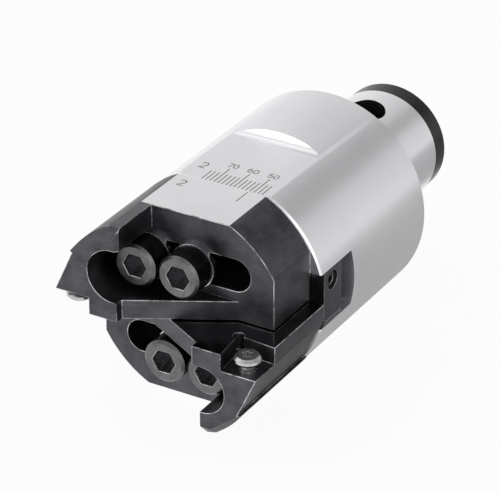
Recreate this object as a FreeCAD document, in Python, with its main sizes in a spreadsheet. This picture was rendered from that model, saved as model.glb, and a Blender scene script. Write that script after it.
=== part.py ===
"""Twin-cutter boring head with a round modular shank: a parametric document.

The tool axis is Y and the origin lies on it, in the shoulder that seats on the adapter.
The shank points along +Y and the cutting end along -Y. X is the direction in which the
insert holders are set: holder B moves towards -X and holder A towards +X. All lengths in mm.
"""
import FreeCAD, Part
import math
import os
import re
import Sketcher

doc = FreeCAD.newDocument("BoringHead")
sheet = doc.addObject("Spreadsheet::Sheet", "Sizes")

SIZES = {
    # body and shank
    "body_radius": 25.0, "body_length": 47.0, "rim_chamfer": 0.4,
    "shank_radius": 14.0, "shank_length": 32.0, "shank_band": 5.0, "band_step": 0.12,
    "shank_chamfer": 0.3, "lock_bore_radius": 5.0, "lock_bore_from_face": 16.8,
    "lock_bore_floor": 2.0, "centre_drill_radius": 1.5, "centre_drill_depth": 5.0,
    "centre_cone_radius": 3.2, "flat_height": 22.3, "flat_length": 21.2,
    "flat_fillet": 2.3, "slot_half_width": 6.65, "slot_depth": 13.5,
    # adjusting block in the cross slot
    "slide_clearance": 0.05, "block_half_length": 23.1, "block_thickness": 10.4,
    "heel_chamfer": 2.6, "feed_height": 2.4, "feed_from_rim": 6.8,
    "bay_inner": 5.1, "bay_outer": 18.7, "bay_margin": 0.2, "bay_floor": 0.6,
    # adjusting screws and the pins that hold them in the block
    "feed_thread_radius": 2.0, "feed_head_radius": 2.2, "feed_neck_radius": 1.5,
    "feed_recess": 0.5, "feed_head_length": 3.7, "feed_neck_start": 0.9,
    "feed_neck_length": 1.7, "feed_end": 6.5, "feed_key": 2.0, "feed_key_depth": 1.0,
    "fit_clearance": 0.05, "pin_radius": 0.75, "pin_length": 7.0, "pin_fit": 0.01,
    # block screw
    "block_screw_radius": 2.0, "block_head_radius": 3.5, "block_head_height": 4.0,
    "block_head_recess": 0.4, "block_screw_length": 16.0, "block_key": 3.0,
    "head_clearance": 0.25,
    # insert holders
    "holder_radius": 24.8, "holder_offset": 0.5, "holder_base": 15.3, "column_height": 13.8,
    "split_gap": 0.3, "tail_edge": 21.2, "column_edge": 9.2, "prong_edge_a": 11.0,
    "prong_edge_b": 8.8, "prong_chamfer_a": 0.2, "prong_chamfer_b": 0.8, "bay_low": 4.7,
    "bay_radius_a": 5.5, "bay_radius_b": 6.1, "bay_centre_a": 11.5, "bay_centre_b": 10.3,
    "screw_height": 10.8, "ramp_step": 1.9, "ramp_end": 12.5, "crown_chamfer_a": 3.0,
    "crown_chamfer_b": 1.3, "facet_distance": 23.6, "facet_angle": 38.0,
    "relief_side": 24.75, "relief_top": 14.0, "relief_top_side": 20.2, "slot_radius": 3.8,
    "slot_inner": 9.2, "slot_outer": 11.7, "tongue_length": 20.0, "tongue_depth": 2.9,
    "lug_width": 4.0, "lug_outer": 18.4, "lug_half_height": 3.0, "lug_reach": 10.4,
    # insert seat and insert screw
    "seat_depth": 4.0, "seat_corner_side": 15.5, "seat_corner_back": 8.8,
    "insert_edge": 9.67, "lead_angle": 5.0, "relief_radius": 1.2, "insert_thread_radius": 1.75,
    "insert_hole_depth": 4.8, "insert_head_radius": 3.0, "insert_head_height": 1.2,
    "insert_cone_height": 1.2, "insert_screw_rise_a": 3.6, "insert_screw_rise_b": 2.5,
    "insert_screw_length": 6.6,
    "star_radius": 1.35, "star_root": 0.95, "star_depth": 1.1,
    # clamp screws and washers
    "clamp_inner": 8.8, "clamp_outer": 1.9, "clamp_radius": 3.0, "clamp_head_radius": 5.0,
    "clamp_head_height": 6.0, "clamp_length": 25.0, "clamp_key": 5.0,
    "clamp_hole_depth": 12.0, "head_edge": 0.6, "washer_radius": 5.2, "washer_bore": 3.2,
    "washer_thickness": 1.2, "thread_fit": 0.02,
}

for row, (alias, value) in enumerate(SIZES.items(), start=1):
    sheet.set(f"A{row}", alias)
    sheet.set(f"B{row}", str(value))
    sheet.setAlias(f"B{row}", alias)
doc.recompute()

# geometry numbers that every sketch gives its own origin point and its across and up axes
ORIGIN = (-1, 1)
SKETCH_AXES = (-1, -2)


def sized(text):
    """Turn words of an expression that are sheet aliases into references to the sheet."""
    return re.sub("[a-z_]+", lambda word: f"Sizes.{word[0]}" if word[0] in SIZES else word[0],
                  text)


def bind(thing, path, text):
    thing.setExpression(path, sized(text))


# ---------------------------------------------------------------- sketches
def new_sketch(body, name, role, height=None):
    """A sketch on one of the body's origin planes, lifted along the plane's normal."""
    sketch = body.newObject("Sketcher::SketchObject", name)
    plane = next(item for item in body.Origin.OriginFeatures if item.Role == role)
    sketch.AttachmentSupport = [(plane, "")]
    sketch.MapMode = "FlatFace"
    if height:
        bind(sketch, "AttachmentOffset.Base.z", height)
    return sketch


def fix(sketch, kind, first, second, text, value):
    """One dimension from the sketch's origin, bound to the sheet."""
    index = sketch.addConstraint(Sketcher.Constraint(kind, *first, *second, value))
    bind(sketch, f"Constraints[{index}]", text)


def place_point(sketch, geometry, point, x_text, y_text):
    """Hold a point of a sketch at a place given by two expressions."""
    x, y = (float(sketch.evalExpression(sized(text))) for text in (x_text, y_text))
    if x_text == "0":
        sketch.addConstraint(Sketcher.Constraint("PointOnObject", geometry, point, SKETCH_AXES[1]))
    else:
        fix(sketch, "DistanceX", ORIGIN, (geometry, point), x_text, x)
    if y_text == "0":
        sketch.addConstraint(Sketcher.Constraint("PointOnObject", geometry, point, SKETCH_AXES[0]))
    else:
        fix(sketch, "DistanceY", ORIGIN, (geometry, point), y_text, y)


def spot(sketch, x_text, y_text):
    x, y = (float(sketch.evalExpression(sized(text))) for text in (x_text, y_text))
    return FreeCAD.Vector(x, y, 0)


def loop(sketch, corners):
    """A closed outline. A corner is (x, y) or (x, y, centre_x, centre_y, turn): the latter
    starts an arc about that centre, turn "left" or "right", to the next corner."""
    first = sketch.GeometryCount
    count = len(corners)
    ends = []
    for number, corner in enumerate(corners):
        following = corners[(number + 1) % count]
        start, end = spot(sketch, *corner[:2]), spot(sketch, *following[:2])
        if len(corner) == 2:
            sketch.addGeometry(Part.LineSegment(start, end))
            ends.append((1, 2))
            continue
        centre = spot(sketch, *corner[2:4])
        left = corner[4] == "left"
        low, high = (start, end) if left else (end, start)
        circle = Part.Circle(centre, FreeCAD.Vector(0, 0, 1), (start - centre).Length)
        angles = [math.atan2(p.y - centre.y, p.x - centre.x) for p in (low, high)]
        sketch.addGeometry(Part.ArcOfCircle(circle, *angles))
        ends.append((1, 2) if left else (2, 1))
        fix(sketch, "DistanceX", ORIGIN, (first + number, 3), corner[2], centre.x)
    for number, corner in enumerate(corners):
        after = (number + 1) % count
        sketch.addConstraint(Sketcher.Constraint(
            "Coincident", first + number, ends[number][1], first + after, ends[after][0]))
        place_point(sketch, first + number, ends[number][0], *corner[:2])


def ring(sketch, x_text, y_text, radius_text):
    """A full circle."""
    radius = float(sketch.evalExpression(sized(radius_text)))
    index = sketch.addGeometry(Part.Circle(spot(sketch, x_text, y_text),
                                           FreeCAD.Vector(0, 0, 1), radius))
    number = sketch.addConstraint(Sketcher.Constraint("Radius", index, radius))
    bind(sketch, f"Constraints[{number}]", radius_text)
    place_point(sketch, index, 3, x_text, y_text)


def box_loop(sketch, left, right, low, high):
    loop(sketch, [(left, low), (right, low), (right, high), (left, high)])


def hexagon(sketch, across_flats):
    """A regular hexagon about the sketch's origin, by its size across the flats."""
    half = f"{across_flats} / 2"
    corner = f"{across_flats} / 2 / cos(30)"
    side = f"{across_flats} / 2 * tan(30)"
    loop(sketch, [(corner, "0"), (side, half), (f"-1 * {side}", half), (f"-1 * {corner}", "0"),
                  (f"-1 * {side}", f"-1 * {half}"), (side, f"-1 * {half}")])


# ---------------------------------------------------------------- features
def pad(body, name, sketch, length, reverse=False):
    """Material along the sketch's normal, or against it."""
    feature = body.newObject("PartDesign::Pad", name)
    feature.Profile = sketch
    bind(feature, "Length", length)
    feature.Reversed = reverse
    return feature


def pocket(body, name, sketch, length=None, both_ways=False):
    """A cut against the sketch's normal, as deep as length or right through."""
    feature = body.newObject("PartDesign::Pocket", name)
    feature.Profile = sketch
    if length:
        bind(feature, "Length", length)
    else:
        feature.Type = "ThroughAll"
    if both_ways:
        feature.SideType = "Symmetric"
    return feature


def revolve(body, name, sketch, axis="V_Axis"):
    """A turned form about one of the sketch's axes, the upright one unless said."""
    feature = body.newObject("PartDesign::Revolution", name)
    feature.Profile = sketch
    feature.ReferenceAxis = (sketch, [axis])
    feature.Angle = 360
    return feature


def repeat_opposite(body, name, features):
    """Repeat features half a turn round the body's own Y axis."""
    pattern = body.newObject("PartDesign::PolarPattern", name)
    pattern.Originals = features
    axis = next(item for item in body.Origin.OriginFeatures if item.Role == "Y_Axis")
    pattern.Axis = (axis, [""])
    pattern.Angle = 360
    pattern.Occurrences = 2
    body.Tip = pattern


def rotation(axis, degrees):
    return FreeCAD.Rotation(FreeCAD.Vector(*axis), degrees)


NO_TURN = rotation((0, 1, 0), 0)
HALF_TURN = rotation((0, 1, 0), 180)


def new_body(label, turn=NO_TURN, x="0", y="0", z="0"):
    """A sub-part's body with its place in the assembly."""
    body = doc.addObject("PartDesign::Body", label)
    body.Label = label
    body.Placement = FreeCAD.Placement(FreeCAD.Vector(), turn)
    for axis, text in (("x", x), ("y", y), ("z", z)):
        if text != "0":
            bind(body, f"Placement.Base.{axis}", text)
    return body


# ---------------------------------------------------------------- places used more than once
FRONT_OF_BLOCK = "(body_length - slot_depth + block_thickness)"
FRONT_OF_BASE = "(body_length + holder_base)"
FRONT_OF_COLUMN = "(body_length + holder_base + column_height)"
FEED_LINE = "(body_length - feed_from_rim)"
HALF_GAP = "(split_gap / 2)"
SEAT = "(split_gap / 2 + seat_depth)"
SEAT_BACK = "(body_length + holder_base + column_height - seat_corner_back)"
FAR = "(2 * body_radius)"
NEAR_FACE = "(block_half_length - feed_recess)"


# ---------------------------------------------------------------- body with its shank
def body_profile(sketch):
    """Half section of the turned form, tool axis across and radius up, from the front rim
    to the centre hole in the shank's end."""
    loop(sketch, [
        ("-1 * body_length", "0"),
        ("-1 * body_length", "body_radius - rim_chamfer"),
        ("rim_chamfer - body_length", "body_radius"),
        ("-1 * rim_chamfer", "body_radius"),
        ("0", "body_radius - rim_chamfer"),
        ("0", "shank_radius"),
        ("shank_length - shank_band", "shank_radius"),
        ("shank_length - shank_band + band_step", "shank_radius - band_step"),
        ("shank_length - shank_chamfer", "shank_radius - band_step"),
        ("shank_length", "shank_radius - band_step - shank_chamfer"),
        ("shank_length", "centre_cone_radius"),
        ("shank_length - (centre_cone_radius - centre_drill_radius) * tan(60)",
         "centre_drill_radius"),
        ("shank_length - centre_drill_depth", "centre_drill_radius"),
        ("shank_length - centre_drill_depth - centre_drill_radius", "0"),
    ])


def make_body():
    body = new_body("body")
    turned = new_sketch(body, "body_section", "YZ_Plane")
    body_profile(turned)
    revolve(body, "body_turned", turned, "H_Axis")

    cross_slot = new_sketch(body, "cross_slot_outline", "XZ_Plane", "body_length")
    box_loop(cross_slot, f"-1 * {FAR}", FAR, "-1 * slot_half_width", "slot_half_width")
    pocket(body, "cross_slot", cross_slot, "slot_depth")

    block_hole = new_sketch(body, "block_hole_outline", "XZ_Plane", "body_length - slot_depth")
    ring(block_hole, "0", "0", "block_screw_radius + thread_fit")
    pocket(body, "block_hole", block_hole, "block_screw_length - block_thickness"
           " + block_head_recess + block_head_height + 1")

    lock_bore = new_sketch(body, "lock_bore_outline", "XY_Plane", "2 * shank_radius")
    ring(lock_bore, "0", "lock_bore_from_face", "lock_bore_radius")
    pocket(body, "lock_bore", lock_bore, "2 * shank_radius - lock_bore_floor")

    flat = new_sketch(body, "scale_flat_outline", "YZ_Plane")
    flat_end = "(flat_length - body_length)"
    loop(flat, [
        (f"-1 * {FAR}", "flat_height"),
        (flat_end, "flat_height", flat_end, "flat_height + flat_fillet", "left"),
        (f"{flat_end} + flat_fillet", "flat_height + flat_fillet"),
        (f"{flat_end} + flat_fillet", FAR),
        (f"-1 * {FAR}", FAR),
    ])
    flat_cut = pocket(body, "scale_flat", flat, both_ways=True)

    holes = new_sketch(body, "clamp_hole_outlines", "XZ_Plane", "body_length")
    for place in ("-1 * clamp_inner", "clamp_outer"):
        ring(holes, place, "screw_height", "clamp_radius + thread_fit")
    hole_cut = pocket(body, "clamp_holes", holes, "clamp_hole_depth")
    repeat_opposite(body, "front_features", [flat_cut, hole_cut])


# ---------------------------------------------------------------- adjusting block
def make_adjusting_block():
    """The block that fills the cross slot and carries both adjusting screws."""
    body = new_body("adjusting_block")
    height = "(slot_half_width - slide_clearance)"
    outline = new_sketch(body, "block_outline", "XZ_Plane", "body_length - slot_depth")
    box_loop(outline, "-1 * block_half_length", "block_half_length",
             f"-1 * {height}", height)
    pad(body, "block_blank", outline, "block_thickness")

    counterbore = new_sketch(body, "counterbore_outline", "XZ_Plane", FRONT_OF_BLOCK)
    ring(counterbore, "0", "0", "block_head_radius + head_clearance")
    pocket(body, "counterbore", counterbore, "block_head_height + block_head_recess")
    screw_hole = new_sketch(body, "screw_hole_outline", "XZ_Plane", FRONT_OF_BLOCK)
    ring(screw_hole, "0", "0", "block_screw_radius + head_clearance")
    pocket(body, "screw_hole", screw_hole)

    heel = new_sketch(body, "heel_outline", "XY_Plane")
    back = "(slot_depth - body_length)"
    loop(heel, [
        ("block_half_length - heel_chamfer", back),
        ("block_half_length", f"{back} - heel_chamfer"),
        ("block_half_length + heel_chamfer", f"{back} - heel_chamfer"),
        ("block_half_length + heel_chamfer", f"{back} + heel_chamfer"),
        ("block_half_length - heel_chamfer", f"{back} + heel_chamfer"),
    ])
    heel_cut = pocket(body, "heel", heel, both_ways=True)

    bay = new_sketch(body, "lug_bay_outline", "XZ_Plane", FRONT_OF_BLOCK)
    box_loop(bay, "bay_inner", "bay_outer", "feed_height - lug_half_height - bay_margin",
             "feed_height + lug_half_height + bay_margin")
    bay_cut = pocket(body, "lug_bay", bay,
                     "lug_reach - slot_depth + block_thickness + bay_floor")

    feed = new_sketch(body, "feed_bore_outline", "YZ_Plane", "block_half_length")
    ring(feed, f"-1 * {FEED_LINE}", "feed_height", "feed_head_radius + fit_clearance")
    feed_cut = pocket(body, "feed_bore", feed, "block_half_length - bay_outer + 1")

    pin = new_sketch(body, "pin_hole_outline", "XZ_Plane", FRONT_OF_BLOCK)
    ring(pin, PIN_SIDE, PIN_HEIGHT, "pin_radius + pin_fit")
    pin_cut = pocket(body, "pin_hole", pin, "pin_length")
    repeat_opposite(body, "feed_features", [heel_cut, bay_cut, feed_cut, pin_cut])


PIN_SIDE = f"({NEAR_FACE} - feed_neck_start - feed_neck_length / 2)"
PIN_HEIGHT = "(feed_height + feed_neck_radius + fit_clearance + pin_radius)"


# ---------------------------------------------------------------- screws, pins and washers
def make_cap_screw(label, turn, place, radius, head_radius, head_height, length, key):
    """A socket head cap screw along its own Y axis, its head below and its origin under
    the head."""
    body = new_body(label, turn, *place)
    section = new_sketch(body, f"{label}_section", "XY_Plane")
    loop(section, [
        ("0", f"-1 * {head_height}"),
        (f"{head_radius} - head_edge", f"-1 * {head_height}"),
        (head_radius, f"head_edge - {head_height}"),
        (head_radius, "0"),
        (radius, "0"),
        (radius, length),
        ("0", length),
    ])
    revolve(body, f"{label}_turned", section)
    socket = new_sketch(body, f"{label}_socket_outline", "XZ_Plane", head_height)
    hexagon(socket, key)
    pocket(body, f"{label}_socket", socket, f"{head_height} / 2")


def make_washer(label, turn, place):
    body = new_body(label, turn, *place)
    section = new_sketch(body, f"{label}_section", "XY_Plane")
    loop(section, [
        ("washer_bore", "-1 * washer_thickness"),
        ("washer_radius", "-1 * washer_thickness"),
        ("washer_radius", "0"),
        ("washer_bore", "0"),
    ])
    revolve(body, f"{label}_turned", section)


def make_clamps(side, turn, sign):
    """Two screws with washers, which hold one insert holder to the front of the body."""
    for number, across in (("1", "-1 * clamp_inner"), ("2", "clamp_outer")):
        x = f"{sign} * ({across})"
        z = f"{sign} * screw_height"
        seat = f"-1 * {FRONT_OF_BASE}"
        make_washer(f"clamp_washer_{side}{number}", turn, (x, seat, z))
        make_cap_screw(f"clamp_screw_{side}{number}", turn,
                       (x, f"{seat} - washer_thickness", z), "clamp_radius",
                       "clamp_head_radius", "clamp_head_height", "clamp_length", "clamp_key")


def make_block_screw():
    seat = f"block_head_height + block_head_recess - {FRONT_OF_BLOCK}"
    make_cap_screw("block_screw", NO_TURN, ("0", seat, "0"), "block_screw_radius",
                   "block_head_radius", "block_head_height", "block_screw_length", "block_key")


def make_adjusting_screw(side, sign):
    """The screw that drives a holder's lug: a grooved head in the block, then the thread."""
    label = f"adjusting_screw_{side}"
    body = new_body(label, rotation((0, 0, 1), 90 * sign), f"{sign} * {NEAR_FACE}",
                    f"-1 * {FEED_LINE}", f"{sign} * feed_height")
    section = new_sketch(body, f"{label}_section", "XY_Plane")
    length = f"({NEAR_FACE} - feed_end)"
    loop(section, [
        ("0", "0"),
        ("feed_head_radius", "0"),
        ("feed_head_radius", "feed_neck_start"),
        ("feed_neck_radius", "feed_neck_start"),
        ("feed_neck_radius", "feed_neck_start + feed_neck_length"),
        ("feed_head_radius", "feed_neck_start + feed_neck_length"),
        ("feed_head_radius", "feed_head_length"),
        ("feed_thread_radius", "feed_head_length"),
        ("feed_thread_radius", length),
        ("0", length),
    ])
    revolve(body, f"{label}_turned", section)
    socket = new_sketch(body, f"{label}_socket_outline", "XZ_Plane")
    hexagon(socket, "feed_key")
    pocket(body, f"{label}_socket", socket, "feed_key_depth")


def make_retaining_pin(side, sign):
    label = f"retaining_pin_{side}"
    body = new_body(label, NO_TURN, f"{sign} * {PIN_SIDE}", f"-1 * {FRONT_OF_BLOCK}",
                    f"{sign} * {PIN_HEIGHT}")
    outline = new_sketch(body, f"{label}_outline", "XZ_Plane")
    ring(outline, "0", "0", "pin_radius")
    pad(body, f"{label}_rod", outline, "pin_length", reverse=True)


def make_insert_screw(side, turn, sign):
    """The countersunk star-socket screw that stands in an insert seat."""
    label = f"insert_screw_{side}"
    middle = "(insert_edge / 2 * (sin(lead_angle) + cos(lead_angle)))"
    body = new_body(label, turn.multiply(rotation((1, 0, 0), 90)),
                    f"{sign} * (-1 * seat_corner_side - {middle})",
                    f"-1 * {SEAT_BACK} - {middle}",
                    f"{sign} * ({SEAT} - insert_screw_rise_{side})")
    section = new_sketch(body, f"{label}_section", "XY_Plane")
    under_head = "(insert_head_height + insert_cone_height)"
    loop(section, [
        ("0", "0"),
        ("insert_head_radius - head_edge", "0"),
        ("insert_head_radius", "head_edge"),
        ("insert_head_radius", "insert_head_height"),
        ("insert_thread_radius", under_head),
        ("insert_thread_radius", "insert_screw_length"),
        ("0", "insert_screw_length"),
    ])
    revolve(body, f"{label}_turned", section)
    star = new_sketch(body, f"{label}_star_outline", "XZ_Plane")
    loop(star, [(f"{('star_radius', 'star_root')[number % 2]} * cos({30 * number})",
                 f"{('star_radius', 'star_root')[number % 2]} * sin({30 * number})")
                for number in range(12)])
    pocket(body, f"{label}_star_hole", star, "star_depth")


# ---------------------------------------------------------------- insert holders
def make_holder(side, turn):
    """An insert holder: a base with a long clamping slot, a raised column that ends in the
    insert seat, and behind it a tongue and a drive lug. Holder A is drawn as B is and then
    turned half round; their bays and chamfers differ in size."""
    body = new_body(f"insert_holder_{side}", turn)

    def plan(name, role, height):
        return new_sketch(body, f"{name}_{side}", role, height)

    blank = plan("blank_outline", "XZ_Plane", "body_length")
    ring(blank, "-1 * holder_offset", "0", "holder_radius")
    pad(body, f"blank_{side}", blank, "holder_base + column_height")
    trim_outline(body, side, plan)
    cut_column(body, side, plan)
    cut_seat(body, side, plan)
    add_drive(body, side, plan)


def trim_outline(body, side, plan):
    """The split face, the scale flat, the tail face and the relief beside the insert."""
    split = plan("split_outline", "XZ_Plane", FRONT_OF_COLUMN)
    box_loop(split, f"-1 * {FAR}", FAR, f"-1 * {FAR}", HALF_GAP)
    pocket(body, f"split_{side}", split)
    flat = plan("crown_outline", "XZ_Plane", FRONT_OF_COLUMN)
    box_loop(flat, f"-1 * {FAR}", FAR, "flat_height", FAR)
    pocket(body, f"crown_{side}", flat)
    tail = plan("tail_outline", "XZ_Plane", FRONT_OF_COLUMN)
    box_loop(tail, "tail_edge", FAR, "0", FAR)
    pocket(body, f"tail_{side}", tail)
    relief = plan("relief_outline", "XZ_Plane", FRONT_OF_COLUMN)
    loop(relief, [
        ("-1 * relief_side", SEAT),
        ("-1 * relief_top_side", "relief_top"),
        (f"-1 * {FAR}", "relief_top"),
        (f"-1 * {FAR}", "0"),
        ("-1 * relief_side", "0"),
    ])
    pocket(body, f"relief_{side}", relief)
    edge = plan("crown_chamfer_outline", "YZ_Plane", None)
    loop(edge, [
        (f"-1 * {FRONT_OF_COLUMN}", f"flat_height - crown_chamfer_{side}"),
        (f"crown_chamfer_{side} - {FRONT_OF_COLUMN}", "flat_height"),
        (f"-1 * {FRONT_OF_COLUMN}", "flat_height"),
    ])
    pocket(body, f"crown_chamfer_{side}", edge, both_ways=True)
    facet = plan("facet_outline", "YZ_Plane", None)
    facet.AttachmentOffset = FreeCAD.Placement(FreeCAD.Vector(), rotation((-1, 0, 0), 1))
    bind(facet, "AttachmentOffset.Rotation.Angle", "facet_angle")
    loop(facet, [
        (f"-1 * {FRONT_OF_COLUMN}", "facet_distance"),
        (f"body_radius - {FRONT_OF_COLUMN}", "facet_distance + body_radius"),
        (f"-1 * {FRONT_OF_COLUMN}", "facet_distance + body_radius"),
    ])
    pocket(body, f"facet_{side}", facet, both_ways=True)


def cut_column(body, side, plan):
    """Lower the tail to the base, leave the ramp under it, and cut the clamping slot."""
    prong, centre = f"-1 * prong_edge_{side}", f"-1 * bay_centre_{side}"
    high = f"(bay_low + 2 * bay_radius_{side})"
    bay = plan("bay_outline", "XZ_Plane", FRONT_OF_COLUMN)
    loop(bay, [
        (prong, FAR),
        (prong, high),
        (centre, high, centre, f"bay_low + bay_radius_{side}", "left"),
        (centre, "bay_low"),
        (FAR, "bay_low"),
        (FAR, FAR),
    ])
    pocket(body, f"bay_{side}", bay, "column_height")
    edge = plan("prong_chamfer_outline", "XY_Plane", "body_radius")
    loop(edge, [
        (f"{prong} - prong_chamfer_{side}", f"-1 * {FRONT_OF_COLUMN}"),
        (prong, f"-1 * {FRONT_OF_COLUMN}"),
        (prong, f"prong_chamfer_{side} - {FRONT_OF_COLUMN}"),
    ])
    pocket(body, f"prong_chamfer_{side}", edge, f"body_radius - {high}")
    ramp = plan("ramp_outline", "XY_Plane", "bay_low")
    loop(ramp, [
        ("-1 * column_edge", f"-1 * {FRONT_OF_COLUMN} - 1"),
        (FAR, f"-1 * {FRONT_OF_COLUMN} - 1"),
        (FAR, f"-1 * {FRONT_OF_BASE}"),
        ("ramp_end", f"-1 * {FRONT_OF_BASE}"),
        ("-1 * column_edge", f"ramp_step - {FRONT_OF_COLUMN}"),
    ])
    pocket(body, f"ramp_{side}", ramp, "bay_low")
    slot = plan("slot_outline", "XZ_Plane", FRONT_OF_BASE)
    under, over = "(screw_height - slot_radius)", "(screw_height + slot_radius)"
    loop(slot, [
        ("-1 * slot_inner", over, "-1 * slot_inner", "screw_height", "left"),
        ("-1 * slot_inner", under),
        ("slot_outer", under, "slot_outer", "screw_height", "left"),
        ("slot_outer", over),
    ])
    pocket(body, f"slot_{side}", slot)


def cut_seat(body, side, plan):
    """The open insert pocket: two walls at the insert's corner angle, a relief in their
    corner, and the threaded hole."""
    reach = "1.6 * insert_edge"
    fore_x, fore_y = f"{reach} * sin(lead_angle)", f"{reach} * cos(lead_angle)"
    corner = ("-1 * seat_corner_side", f"-1 * {SEAT_BACK}")
    seat = plan("seat_outline", "XY_Plane", SEAT)
    loop(seat, [
        corner,
        (f"{corner[0]} - {fore_y}", f"{corner[1]} - {fore_x}"),
        (f"{corner[0]} - {fore_y} - {fore_x}", f"{corner[1]} - {fore_x} - {fore_y}"),
        (f"{corner[0]} - {fore_x}", f"{corner[1]} - {fore_y}"),
    ])
    pocket(body, f"seat_{side}", seat, "seat_depth + 1")
    relief = plan("corner_relief_outline", "XY_Plane", SEAT)
    ring(relief, *corner, "relief_radius")
    pocket(body, f"corner_relief_{side}", relief, "seat_depth + 1")
    middle = "(insert_edge / 2 * (sin(lead_angle) + cos(lead_angle)))"
    hole = plan("insert_hole_outline", "XY_Plane", f"{SEAT} + insert_hole_depth")
    ring(hole, f"{corner[0]} - {middle}", f"{corner[1]} - {middle}",
         "insert_thread_radius + thread_fit")
    pocket(body, f"insert_hole_{side}", hole, "insert_hole_depth")


def add_drive(body, side, plan):
    """The tongue that runs in the cross slot, and the threaded lug in the block's bay."""
    tongue = plan("tongue_outline", "XZ_Plane", "body_length")
    box_loop(tongue, "-1 * tongue_length", "tongue_length", HALF_GAP,
             "slot_half_width - slide_clearance")
    pad(body, f"tongue_{side}", tongue, "tongue_depth", reverse=True)
    lug = plan("lug_outline", "YZ_Plane", "lug_outer - lug_width")
    root = "(tongue_depth / 2 - body_length)"
    step = f"(2 * slide_clearance - {FRONT_OF_BLOCK})"
    low, high = "(feed_height - lug_half_height)", "(feed_height + lug_half_height)"
    loop(lug, [
        (root, HALF_GAP),
        (step, HALF_GAP),
        (step, low),
        ("lug_reach - body_length", low),
        ("lug_reach - body_length", high),
        (root, high),
    ])
    pad(body, f"lug_{side}", lug, "lug_width")
    thread = plan("lug_thread_outline", "YZ_Plane", "lug_outer + 1")
    ring(thread, f"-1 * {FEED_LINE}", "feed_height", "feed_thread_radius + thread_fit")
    pocket(body, f"lug_thread_{side}", thread, "lug_width + 2")


# ---------------------------------------------------------------- assembly
make_body()
make_adjusting_block()
make_block_screw()
for side, turn, sign in (("a", HALF_TURN, -1), ("b", NO_TURN, 1)):
    make_holder(side, turn)
    make_clamps(side, turn, sign)
    make_insert_screw(side, turn, sign)
    make_adjusting_screw(side, sign)
    make_retaining_pin(side, sign)
doc.recompute()

failed = [item.Name for item in doc.Objects if {"Invalid", "Error"} & set(item.State)]
if failed:
    raise RuntimeError("features that failed: " + ", ".join(failed))
bodies = [item for item in doc.Objects if item.TypeId == "PartDesign::Body"]
for body in bodies:
    if body.Shape.isNull() or not body.Shape.isValid() or len(body.Shape.Solids) != 1:
        raise RuntimeError("not one valid solid: " + body.Label)

os.makedirs("parts", exist_ok=True)
for body in bodies:
    body.Shape.exportStep(f"parts/{body.Label}.step")
    print(body.Label, round(body.Shape.Volume, 2))
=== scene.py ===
"""Looks of the boring head: bevelled pieces over the CAD solids, engraved scales, floor,
soft studio light and the camera. Lengths are in metres in the row frame; the pieces are
worked on in millimetres."""
import math
import bmesh
import bpy
from mathutils import Matrix, Vector


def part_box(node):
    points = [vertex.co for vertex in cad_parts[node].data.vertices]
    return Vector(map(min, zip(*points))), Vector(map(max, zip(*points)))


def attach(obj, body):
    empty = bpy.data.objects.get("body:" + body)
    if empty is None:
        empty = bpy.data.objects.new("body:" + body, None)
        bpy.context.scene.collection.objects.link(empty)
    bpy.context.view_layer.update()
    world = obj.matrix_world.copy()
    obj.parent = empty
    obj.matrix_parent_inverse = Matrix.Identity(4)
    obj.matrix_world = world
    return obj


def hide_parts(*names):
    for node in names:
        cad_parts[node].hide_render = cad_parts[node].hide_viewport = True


MM = 0.001

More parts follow.
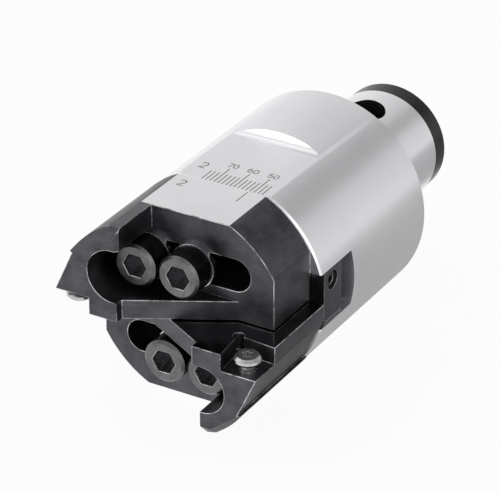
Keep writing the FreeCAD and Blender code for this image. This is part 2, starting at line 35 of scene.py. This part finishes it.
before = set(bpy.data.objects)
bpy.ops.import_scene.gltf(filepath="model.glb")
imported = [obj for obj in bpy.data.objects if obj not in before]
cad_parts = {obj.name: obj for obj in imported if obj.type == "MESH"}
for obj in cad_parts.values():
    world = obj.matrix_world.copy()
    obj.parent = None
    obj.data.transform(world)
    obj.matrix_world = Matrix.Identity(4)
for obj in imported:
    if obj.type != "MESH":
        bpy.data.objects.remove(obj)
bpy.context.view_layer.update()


# ---------------------------------------------------------------- materials
class Nodes:
    """A material's node tree with short ways to add nodes and to link them."""

    def __init__(self, name):
        self.material = bpy.data.materials.new(name)
        self.material.use_nodes = True
        self.tree = self.material.node_tree
        self.tree.nodes.clear()
        self.output = self.add("ShaderNodeOutputMaterial")
        self.place = self.add("ShaderNodeTexCoord").outputs["Object"]

    def add(self, kind, **values):
        node = self.tree.nodes.new(kind)
        for name, value in values.items():
            setattr(node, name, value)
        return node

    def link(self, source, target):
        self.tree.links.new(source, target)

    def math(self, operation, first, second=None, clamp=False):
        node = self.add("ShaderNodeMath", operation=operation, use_clamp=clamp)
        for socket, value in zip(node.inputs, (first, second)):
            if isinstance(value, bpy.types.NodeSocket):
                self.link(value, socket)
            elif value is not None:
                socket.default_value = value
        return node.outputs[0]

    def stretched(self, scale):
        mapping = self.add("ShaderNodeMapping")
        mapping.inputs["Scale"].default_value = scale
        self.link(self.place, mapping.inputs["Vector"])
        return mapping.outputs["Vector"]

    def noise(self, scale, detail=4.0, roughness=0.55, stretch=None):
        node = self.add("ShaderNodeTexNoise")
        node.inputs["Scale"].default_value = scale
        node.inputs["Detail"].default_value = detail
        node.inputs["Roughness"].default_value = roughness
        self.link(self.stretched(stretch) if stretch else self.place, node.inputs["Vector"])
        return node.outputs["Fac"]

    def ramp(self, source, low, high, first, last):
        """Map a range of the source to a range of values, clamped."""
        node = self.add("ShaderNodeMapRange")
        self.link(source, node.inputs["Value"])
        for name, value in (("From Min", low), ("From Max", high),
                            ("To Min", first), ("To Max", last)):
            node.inputs[name].default_value = value
        return node.outputs["Result"]

    def colours(self, factor, first, second):
        node = self.add("ShaderNodeMix", data_type="RGBA")
        self.link(factor, node.inputs["Factor"])
        for name, value in (("A", first), ("B", second)):
            socket = next(s for s in node.inputs if s.name == name and s.type == "RGBA")
            if isinstance(value, bpy.types.NodeSocket):
                self.link(value, socket)
            else:
                socket.default_value = (*value, 1)
        return next(s for s in node.outputs if s.type == "RGBA")

    def bump(self, height, distance, strength=1.0):
        node = self.add("ShaderNodeBump")
        node.inputs["Strength"].default_value = strength
        node.inputs["Distance"].default_value = distance
        self.link(height, node.inputs["Height"])
        return node.outputs["Normal"]

    def surface(self, colour, roughness, metallic=1.0, normal=None, **fixed):
        shader = self.add("ShaderNodeBsdfPrincipled")
        for name, value in (("Base Color", colour), ("Roughness", roughness),
                            ("Metallic", metallic), ("Normal", normal)):
            if isinstance(value, bpy.types.NodeSocket):
                self.link(value, shader.inputs[name])
            elif value is not None:
                shader.inputs[name].default_value = (*value, 1) if name == "Base Color" else value
        for name, value in fixed.items():
            shader.inputs[name.replace("_", " ")].default_value = value
        self.link(shader.outputs[0], self.output.inputs["Surface"])
        return self.material


def satin_steel():
    """Ground and plated steel: turned rings, faint clouds and small marks."""
    n = Nodes("satin_steel")
    rings = n.noise(1.0, 3, 0.6, (60, 5200, 60))
    clouds = n.noise(55, 4, 0.5)
    marks = n.noise(900, 2, 0.6)
    tint = n.colours(n.ramp(clouds, 0.35, 0.7, 0, 1), (0.88, 0.88, 0.905), (0.94, 0.94, 0.96))
    fine = n.math("ADD", n.ramp(rings, 0.3, 0.7, 0.0, 0.05), n.ramp(marks, 0.3, 0.7, 0, 0.03))
    rough = n.math("ADD", n.ramp(clouds, 0.3, 0.7, 0.24, 0.29), fine)
    return n.surface(tint, rough, normal=n.bump(rings, 0.0000015))


def flat_steel():
    """The milled and ground flats that carry the scales."""
    n = Nodes("flat_steel")
    lines = n.noise(1.0, 3, 0.6, (90, 5200, 90))
    clouds = n.noise(70, 4, 0.5)
    tint = n.colours(n.ramp(clouds, 0.35, 0.7, 0, 1), (0.89, 0.89, 0.91), (0.94, 0.94, 0.96))
    rough = n.math("ADD", n.ramp(clouds, 0.3, 0.7, 0.30, 0.36), n.ramp(lines, 0.3, 0.7, 0, 0.05))
    return n.surface(tint, rough, normal=n.bump(lines, 0.0000012))


def dark_band_and_bore_shade():
    """The dark band at the shank's end, and painted shade on the wall of the lock bore."""
    n = Nodes("dark_band_and_bore_shade")
    clouds = n.noise(120, 4, 0.5)
    tint = n.colours(n.ramp(clouds, 0.35, 0.7, 0, 1), (0.012, 0.012, 0.014), (0.03, 0.03, 0.034))
    return n.surface(tint, n.ramp(clouds, 0.3, 0.7, 0.2, 0.34), 0.6,
                     normal=n.bump(n.noise(1.0, 3, 0.6, (80, 4000, 80)), 0.000002))


def black_oxide(name="black_oxide", low=(0.055, 0.055, 0.061), high=(0.13, 0.13, 0.142),
                rough=(0.34, 0.5)):
    """Blackened milled steel: cloudy tone, cutter marks and a little grain."""
    n = Nodes(name)
    clouds = n.noise(170, 5, 0.6)
    streaks = n.noise(1.0, 3, 0.6, (260, 260, 2600))
    grain = n.noise(2600, 2, 0.6)
    mixed = n.math("ADD", n.ramp(clouds, 0.32, 0.68, 0, 0.72), n.ramp(streaks, 0.3, 0.7, 0, 0.28))
    tint = n.colours(mixed, low, high)
    roughness = n.math("ADD", n.ramp(clouds, 0.3, 0.7, *rough),
                       n.ramp(grain, 0.3, 0.7, -0.04, 0.04))
    height = n.math("ADD", streaks, n.math("MULTIPLY", grain, 0.6))
    return n.surface(tint, roughness, normal=n.bump(height, 0.000004))


def worn_edge_and_highlight(name, dark, bright):
    """Edges where the black has rubbed off in places; the bright patches are partly a painted
    highlight along the edges.
    """
    n = Nodes(name)
    patches = n.math("ADD", n.math("MULTIPLY", n.noise(260, 4, 0.6), 0.75),
                     n.math("MULTIPLY", n.noise(1900, 2, 0.6), 0.25))
    tint = n.colours(n.ramp(patches, 0.38, 0.56, 0, 1), dark, bright)
    return n.surface(tint, n.ramp(patches, 0.3, 0.7, 0.38, 0.26),
                     normal=n.bump(patches, 0.000003))


def screw_black():
    """Smooth blackened sides of the screws."""
    n = Nodes("screw_black")
    clouds = n.noise(400, 4, 0.6)
    tint = n.colours(n.ramp(clouds, 0.35, 0.7, 0, 1),
                     (0.014, 0.014, 0.016), (0.034, 0.034, 0.038))
    return n.surface(tint, n.ramp(clouds, 0.3, 0.7, 0.24, 0.36), 0.9,
                     normal=n.bump(n.noise(2400, 2), 0.000002))


def brushed(name, low, high, rough):
    """Bare or thinly coated steel with a rubbed, slightly uneven face; the socket walls use it as
    a painted highlight.
    """
    n = Nodes(name)
    clouds = n.noise(330, 4, 0.6)
    grain = n.noise(1600, 3, 0.6)
    mixed = n.math("ADD", n.ramp(clouds, 0.3, 0.7, 0, 0.6), n.ramp(grain, 0.3, 0.7, 0, 0.4))
    return n.surface(n.colours(mixed, low, high), n.ramp(mixed, 0, 1, *rough),
                     normal=n.bump(grain, 0.000003))


def ink():
    """Dark laser-marked lines."""
    n = Nodes("mark_ink")
    clouds = n.noise(2200, 3, 0.6)
    tint = n.colours(n.ramp(clouds, 0.3, 0.7, 0, 1), (0.03, 0.03, 0.033), (0.09, 0.09, 0.095))
    return n.surface(tint, n.ramp(clouds, 0.3, 0.7, 0.45, 0.65), 0.2,
                     normal=n.bump(clouds, 0.000002))


STEEL = satin_steel()
FLAT = flat_steel()
# the dark material: the band at the shank's end, and painted shade on the lock bore's wall
BAND_AND_BORE_SHADE = dark_band_and_bore_shade()
BLACK = black_oxide()
GROUND = black_oxide("black_oxide_ground", (0.05, 0.05, 0.055), (0.11, 0.11, 0.12), (0.15, 0.24))
CROWN = black_oxide("black_oxide_crown", (0.12, 0.12, 0.125), (0.2, 0.2, 0.21), (0.34, 0.46))
RIM = brushed("steel_rim", (0.8, 0.8, 0.82), (0.95, 0.95, 0.97), (0.2, 0.3))
# rubbed-off black on the bevels, and a painted highlight along them
WORN_AND_HIGHLIGHT = worn_edge_and_highlight("worn_edge_and_highlight", (0.07, 0.07, 0.075), (0.66, 0.66, 0.68))
SCREW = screw_black()
HEAD = brushed("screw_head_face", (0.10, 0.10, 0.105), (0.22, 0.22, 0.225), (0.3, 0.42))
# rubbed head edges of the screws, with a painted highlight
HEAD_EDGE_AND_HIGHLIGHT = worn_edge_and_highlight("screw_head_edge_and_highlight", (0.14, 0.14, 0.145), (0.5, 0.5, 0.51))
# the socket walls' light colour is a painted highlight
SOCKET_HIGHLIGHT = brushed("socket_wall_highlight", (0.4, 0.4, 0.41), (0.85, 0.85, 0.86), (0.12, 0.24))
WASHER = brushed("washer_zinc", (0.82, 0.82, 0.83), (0.95, 0.95, 0.96), (0.16, 0.28))
BRIGHT = brushed("insert_screw_steel", (0.42, 0.42, 0.42), (0.68, 0.68, 0.68), (0.2, 0.32))
PIN = brushed("ground_pin", (0.5, 0.5, 0.51), (0.66, 0.66, 0.67), (0.2, 0.3))
INK = ink()


# ---------------------------------------------------------------- dressed CAD pieces
# lengths in mm, angles in degrees
MERGE_DISTANCE = 0.002
FLAT_JOIN_ANGLE = 0.6
BEVEL_ANGLE = 50
SHARP_ANGLE = 36


def dress(node, body, materials, bevel, paint=None, seam=None):
    """A copy of a CAD node with its flat faces merged and its edges bevelled, in its place.

    materials[0] is the main one and materials[1] the one of the bevels; paint gives the
    number of another for a face by its middle and normal, in mm, or None. A seam is a place
    along Y at which faces are parted, so that paint can tell them apart."""
    work = bmesh.new()
    work.from_mesh(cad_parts[node].data)
    bmesh.ops.scale(work, vec=Vector((1, 1, 1)) / MM, verts=work.verts)
    bmesh.ops.remove_doubles(work, verts=work.verts, dist=MERGE_DISTANCE)
    bmesh.ops.dissolve_limit(work, angle_limit=math.radians(FLAT_JOIN_ANGLE), verts=work.verts,
                             edges=work.edges)
    if seam is not None:
        bmesh.ops.bisect_plane(work, geom=work.verts[:] + work.edges[:] + work.faces[:],
                               plane_co=(0, seam, 0), plane_no=(0, 1, 0))
    work.normal_update()
    for face in work.faces:
        face.material_index = 0
    edges = [e for e in work.edges if len(e.link_faces) == 2
             and e.calc_face_angle() > math.radians(BEVEL_ANGLE)]
    bmesh.ops.bevel(work, geom=edges, offset=bevel, offset_type="OFFSET", segments=2,
                    profile=0.5, affect="EDGES", clamp_overlap=False, material=1)
    work.normal_update()
    for face in work.faces:
        face.smooth = True
        if paint:
            number = paint(face.calc_center_median(), face.normal, face.material_index)
            if number is not None:
                face.material_index = number
    for edge in work.edges:
        edge.smooth = (len(edge.link_faces) == 2
                       and edge.calc_face_angle() < math.radians(SHARP_ANGLE))
    bmesh.ops.scale(work, vec=Vector((1, 1, 1)) * MM, verts=work.verts)
    mesh = bpy.data.meshes.new(f"{node}_looks")
    work.to_mesh(mesh)
    work.free()
    for material in materials:
        mesh.materials.append(material)
    piece = bpy.data.objects.new(f"{node}_looks", mesh)
    bpy.context.scene.collection.objects.link(piece)
    weighted = piece.modifiers.new("weighted_normals", "WEIGHTED_NORMAL")
    weighted.keep_sharp = True
    weighted.weight = 80
    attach(piece, body)
    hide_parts(node)
    return piece


FLAT_HEIGHT = 22.3
JOINT_LINE = -47.0
BASE_FRONT = -62.3
BAND_START = 27.0
BORE_PLACE = 16.8
BORE_RADIUS = 5.0
SHANK_RADIUS = 14.0
# how far behind a screw's head face its socket reaches, and where its bevelled mouth ends
SOCKET_REACH = 3.2
SOCKET_MOUTH = 0.3


def paint_body(middle, normal, current):
    """The flats with the scales, the dark band at the shank's end and painted shade on the lock
    bore's wall.
    """
    if abs(middle.z) > FLAT_HEIGHT - 0.1 and abs(normal.z) > 0.99 and middle.y < -20:
        return 2
    if middle.y > BAND_START + 0.02 and abs(normal.y) < 0.99:
        return 3
    # painted shade: faces inside the lock bore get the dark material
    in_bore_shade = math.hypot(middle.x, middle.y - BORE_PLACE) < BORE_RADIUS + 0.05
    if in_bore_shade and 0 < middle.z < math.hypot(middle.x, SHANK_RADIUS) - 1.5:
        return 3
    return None


def paint_holder(middle, normal, current):
    """The silver flat on the base, the grey crown before it and the ground split face."""
    if current == 1 or abs(normal.z) < 0.99:
        return None
    if abs(middle.z) > FLAT_HEIGHT - 0.05:
        return 2 if middle.y > BASE_FRONT else 3
    return 4 if abs(middle.z) < 0.2 else None


def paint_screw(place, head_face, socket_radius):
    """Brushed face, socket walls with a painted highlight, and rubbed head edges that also carry
    a painted highlight, on a cap screw.
    """
    def paint(middle, normal, current):
        across = math.hypot(middle.x - place[0], middle.z - place[1])
        if middle.y > head_face + SOCKET_REACH:
            return 0
        # socket walls take the light material: a painted highlight
        if across < socket_radius and middle.y > head_face + SOCKET_MOUTH:
            return 4 if abs(normal.y) < 0.5 else 0
        if normal.y < -0.5:
            return 3 if current == 1 else 2
        return 0 if current == 0 else 3
    return paint


dress("body", "body", [STEEL, RIM, FLAT, BAND_AND_BORE_SHADE], 0.12, paint_body)
dress("adjusting_block", "body", [BLACK, WORN_AND_HIGHLIGHT], 0.1)
dress("block_screw", "body", [SCREW, HEAD_EDGE_AND_HIGHLIGHT, HEAD, HEAD_EDGE_AND_HIGHLIGHT, SOCKET_HIGHLIGHT], 0.08,
      paint_screw((0, 0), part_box("block_screw")[0].y / MM, 2))
for side in "ab":
    dress(f"insert_holder_{side}", f"holder_{side}",
          [BLACK, WORN_AND_HIGHLIGHT, FLAT, CROWN, GROUND], 0.16, paint_holder, seam=BASE_FRONT)
    dress(f"insert_screw_{side}", f"seat_screw_{side}", [BRIGHT, BRIGHT], 0.06)
    dress(f"adjusting_screw_{side}", f"adjuster_{side}", [SCREW, HEAD_EDGE_AND_HIGHLIGHT], 0.07)
    dress(f"retaining_pin_{side}", "body", [PIN, PIN], 0.05)
    for number in "12":
        label = f"{side}{number}"
        low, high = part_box(f"clamp_screw_{label}")
        middle = (low + high) / 2 / MM
        dress(f"clamp_screw_{label}", f"clamp_{label}",
              [SCREW, HEAD_EDGE_AND_HIGHLIGHT, HEAD, HEAD_EDGE_AND_HIGHLIGHT, SOCKET_HIGHLIGHT], 0.14,
              paint_screw((middle.x, middle.z), low.y / MM, 3.1))
        dress(f"clamp_washer_{label}", f"clamp_{label}", [WASHER, WASHER], 0.06)


# ---------------------------------------------------------------- engraved marks
def arc(x, y, across, up, start, end, count=9):
    """Points of an ellipse's arc, angles in degrees."""
    turn = [math.radians(start + (end - start) * i / (count - 1)) for i in range(count)]
    return [(x + across * math.cos(t), y + up * math.sin(t)) for t in turn]


GLYPHS = {
    "0": [arc(0.31, 0.5, 0.31, 0.5, 90, 450, 25)],
    "1": [[(0.12, 0.78), (0.34, 1.0), (0.34, 0.0)]],
    "2": [arc(0.31, 0.71, 0.28, 0.29, 165, -35, 12) + [(0.02, 0.0), (0.62, 0.0)]],
    "5": [[(0.57, 1.0), (0.1, 1.0), (0.05, 0.55)] + arc(0.3, 0.32, 0.3, 0.32, 130, -150, 16)],
    "6": [arc(0.5, 0.42, 0.48, 0.58, 95, 180, 8) + arc(0.32, 0.31, 0.3, 0.31, 180, 540, 20)],
    "7": [[(0.02, 1.0), (0.6, 1.0), (0.22, 0.0)]],
}
GLYPH_WIDTH = 0.62


def ribbon(work, points, width, height, close):
    """A thin closed strip along a line on the flat, its top just proud of the steel."""
    count = len(points)
    sides = []
    for i, (x, y) in enumerate(points):
        before = points[i - 1] if i else (points[-2] if close else points[0])
        after = points[i + 1] if i < count - 1 else (points[1] if close else points[-1])
        a = Vector((x - before[0], y - before[1]))
        b = Vector((after[0] - x, after[1] - y))
        a = a.normalized() if a.length > 1e-9 else b.normalized()
        b = b.normalized() if b.length > 1e-9 else a
        tangent = (a + b).normalized()
        reach = width / 2 / max(0.5, tangent.dot(a))
        sides.append(((x - tangent.y * reach, y + tangent.x * reach),
                      (x + tangent.y * reach, y - tangent.x * reach)))
    low, top = height - 0.02, height + 0.012
    rings = []
    for left, right in (sides[:-1] if close else sides):
        rings.append([work.verts.new(v) for v in
                      ((*left, low), (*left, top), (*right, top), (*right, low))])
    pairs = list(zip(rings, rings[1:] + rings[:1] if close else rings[1:]))
    for first, second in pairs:
        for k in range(4):
            m = (k + 1) % 4
            work.faces.new((first[k], first[m], second[m], second[k]))
    if not close:
        work.faces.new(rings[0][::-1])
        work.faces.new(rings[-1])


def word(work, text, x, y, size, line):
    """Digits centred on a place, as single engraved strokes."""
    pitch = size * 0.82
    left = x - (pitch * (len(text) - 1) + GLYPH_WIDTH * size) / 2
    for number, digit in enumerate(text):
        for stroke in GLYPHS[digit]:
            points = [(left + pitch * number + size * px, y + size * py) for px, py in stroke]
            ribbon(work, points, line, FLAT_HEIGHT, digit == "0")


def marks(name, body, turned, fill):
    """Inked lines on the +Z flat, or half a turn round the tool axis from it."""
    work = bmesh.new()
    fill(work)
    bmesh.ops.recalc_face_normals(work, faces=work.faces)
    if turned:
        bmesh.ops.rotate(work, matrix=Matrix.Rotation(math.pi, 3, "Y"), verts=work.verts)
    bmesh.ops.scale(work, vec=Vector((1, 1, 1)) * MM, verts=work.verts)
    mesh = bpy.data.meshes.new(name)
    work.to_mesh(mesh)
    work.free()
    mesh.materials.append(INK)
    piece = bpy.data.objects.new(name, mesh)
    bpy.context.scene.collection.objects.link(piece)
    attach(piece, body)


SCALE_START = -5.83
TICKS = 16
LONG_TICKS = {3: "70", 8: "60", 13: "50"}
LONG_END, SHORT_END = -39.7, -42.3
INDEX_PLACE = 6.0
LINE = 0.2
DIGIT_SIZE = 1.7
SIDE_MARK_SIZE, SIDE_MARK_LINE = 2.5, 0.24


def scale(side_mark):
    """Sixteen lines 1 mm apart, 2 mm of diameter each, with the numbers of the long ones."""
    def fill(work):
        for i in range(TICKS):
            x = SCALE_START + i
            end = LONG_END if i in LONG_TICKS else SHORT_END
            ribbon(work, [(x, JOINT_LINE + 0.3), (x, end)], LINE, FLAT_HEIGHT, False)
            if i in LONG_TICKS:
                word(work, LONG_TICKS[i], x, end + 0.7, DIGIT_SIZE, LINE)
        word(work, side_mark, -8.6, -42.2, SIDE_MARK_SIZE, SIDE_MARK_LINE)
    return fill


def index(side_mark):
    """The holder's line that reads on the scale, with the number of its side."""
    def fill(work):
        ribbon(work, [(INDEX_PLACE, JOINT_LINE - 0.25), (INDEX_PLACE, -52.2)], LINE,
               FLAT_HEIGHT, False)
        word(work, side_mark, -8.4, -51.7, SIDE_MARK_SIZE, SIDE_MARK_LINE)
    return fill


for side, turned, side_mark in (("b", False, "2"), ("a", True, "1")):
    marks(f"scale_{side}", "body", turned, scale(side_mark))
    marks(f"index_{side}", f"holder_{side}", turned, index(side_mark))


# ---------------------------------------------------------------- floor, light, camera
def stage_plane(name, corners, material):
    mesh = bpy.data.meshes.new(name)
    mesh.from_pydata(corners, [], [tuple(range(len(corners)))])
    mesh.materials.append(material)
    plane = bpy.data.objects.new(name, mesh)
    bpy.context.scene.collection.objects.link(plane)
    return plane


def floor_material():
    """White paper that stays white to the camera and in reflections, with a light shadow."""
    n = Nodes("floor_paper")
    diffuse = n.add("ShaderNodeBsdfDiffuse")
    diffuse.inputs["Color"].default_value = (0.9, 0.9, 0.9, 1)
    glow = n.add("ShaderNodeEmission")
    glow.inputs["Color"].default_value = (1, 1, 1, 1)
    path = n.add("ShaderNodeLightPath")
    seen = n.math("ADD", path.outputs["Is Camera Ray"], path.outputs["Is Glossy Ray"])
    seen = n.math("ADD", seen, path.outputs["Is Transmission Ray"], clamp=True)
    mix = n.add("ShaderNodeMixShader")
    n.link(n.math("MULTIPLY", seen, 0.93), mix.inputs["Fac"])
    n.link(diffuse.outputs[0], mix.inputs[1])
    n.link(glow.outputs[0], mix.inputs[2])
    n.link(mix.outputs[0], n.output.inputs["Surface"])
    return n.material


FLOOR = -25.02 * MM
stage_plane("floor", [(-3, -3, FLOOR), (3, -3, FLOOR), (3, 3, FLOOR), (-3, 3, FLOOR)],
            floor_material())


def flag(name, grey, corners):
    """A grey card that only reflections show, as a studio uses to draw a metal's form."""
    n = Nodes(name)
    glow = n.add("ShaderNodeEmission")
    glow.inputs["Color"].default_value = (grey, grey, grey, 1)
    n.link(glow.outputs[0], n.output.inputs["Surface"])
    card = stage_plane(name, corners, n.material)
    for ray in ("camera", "diffuse", "transmission", "volume_scatter", "shadow"):
        setattr(card, f"visible_{ray}", False)


def card_corners(roll_low, roll_high, near, far, distance=1.2):
    """A card on the cone of directions in which the body's side mirrors: rolls about +Y."""
    corners = []
    for roll, lean in ((roll_low, near), (roll_high, near), (roll_high, far), (roll_low, far)):
        r, t = math.radians(roll), math.radians(lean)
        corners.append((distance * math.sin(t) * math.cos(r), distance * math.cos(t),
                        distance * math.sin(t) * math.sin(r)))
    return corners


flag("flag_upper", 0.37, card_corners(43, 73, 15, 85))
LOW = -24.6 * MM
flag("flag_lower", 0.42,
     [(0.014, -0.06, LOW), (0.12, -0.06, LOW), (0.3, 0.3, LOW), (0.014, 0.3, LOW)])

# a bright room whose right side and top are darker than its left side and horizon
world = bpy.data.worlds.new("studio")
bpy.context.scene.world = world
world.use_nodes = True
tree = world.node_tree
tree.nodes.clear()
background = tree.nodes.new("ShaderNodeBackground")
split = tree.nodes.new("ShaderNodeSeparateXYZ")
tree.links.new(tree.nodes.new("ShaderNodeTexCoord").outputs["Generated"], split.inputs[0])
glow = tree.nodes.new("ShaderNodeMath")
glow.use_clamp = True
for number, (axis, dark, light, least, most) in enumerate((("X", 0.2, -0.7, 0.68, 0.93),
                                                            ("Z", 0.6, 0.15, 0.0, 0.18))):
    part = tree.nodes.new("ShaderNodeMapRange")
    for name, value in (("From Min", dark), ("From Max", light),
                        ("To Min", least), ("To Max", most)):
        part.inputs[name].default_value = value
    tree.links.new(split.outputs[axis], part.inputs["Value"])
    tree.links.new(part.outputs[0], glow.inputs[number])
tree.links.new(glow.outputs[0], background.inputs["Strength"])
tree.links.new(background.outputs[0],
               tree.nodes.new("ShaderNodeOutputWorld").inputs["Surface"])


def softbox(name, place, size, watts):
    """A square lamp that faces the origin."""
    lamp = bpy.data.lights.new(name, "AREA")
    lamp.shape = "SQUARE"
    lamp.size = size
    lamp.energy = watts
    lamp_object = bpy.data.objects.new(name, lamp)
    bpy.context.scene.collection.objects.link(lamp_object)
    lamp_object.location = place
    lamp_object.rotation_euler = (-Vector(place)).to_track_quat("-Z", "Y").to_euler()


softbox("key", (-0.75, -0.1, 0.75), 0.9, 1.0)
softbox("front", (-0.75, -0.85, 0.2), 0.7, 3.0)
softbox("fill", (0.9, -0.9, 0.5), 0.8, 2.0)

# the camera at the photograph's angle, its distance and its shift to the right and up
AZIMUTH, ELEVATION = math.radians(30.23), math.radians(28.53)
DISTANCE, SHIFT_RIGHT, SHIFT_UP = 0.65824, -0.0181, -0.01294
back = Vector((math.sin(AZIMUTH) * math.cos(ELEVATION),
               -math.cos(AZIMUTH) * math.cos(ELEVATION), math.sin(ELEVATION)))
right = Vector((math.cos(AZIMUTH), math.sin(AZIMUTH), 0))
up = back.cross(right)
camera_data = bpy.data.cameras.new("photo_camera")
camera_data.sensor_width = 36
camera_data.lens = 205.47
camera_data.clip_start = 0.05
camera = bpy.data.objects.new("photo_camera", camera_data)
bpy.context.scene.collection.objects.link(camera)
turn = Matrix((right, up, back)).transposed().to_4x4()
camera.matrix_world = Matrix.Translation(
    DISTANCE * back + SHIFT_RIGHT * right + SHIFT_UP * up) @ turn
bpy.context.scene.camera = camera
bpy.context.scene.view_settings.view_transform = "Standard"
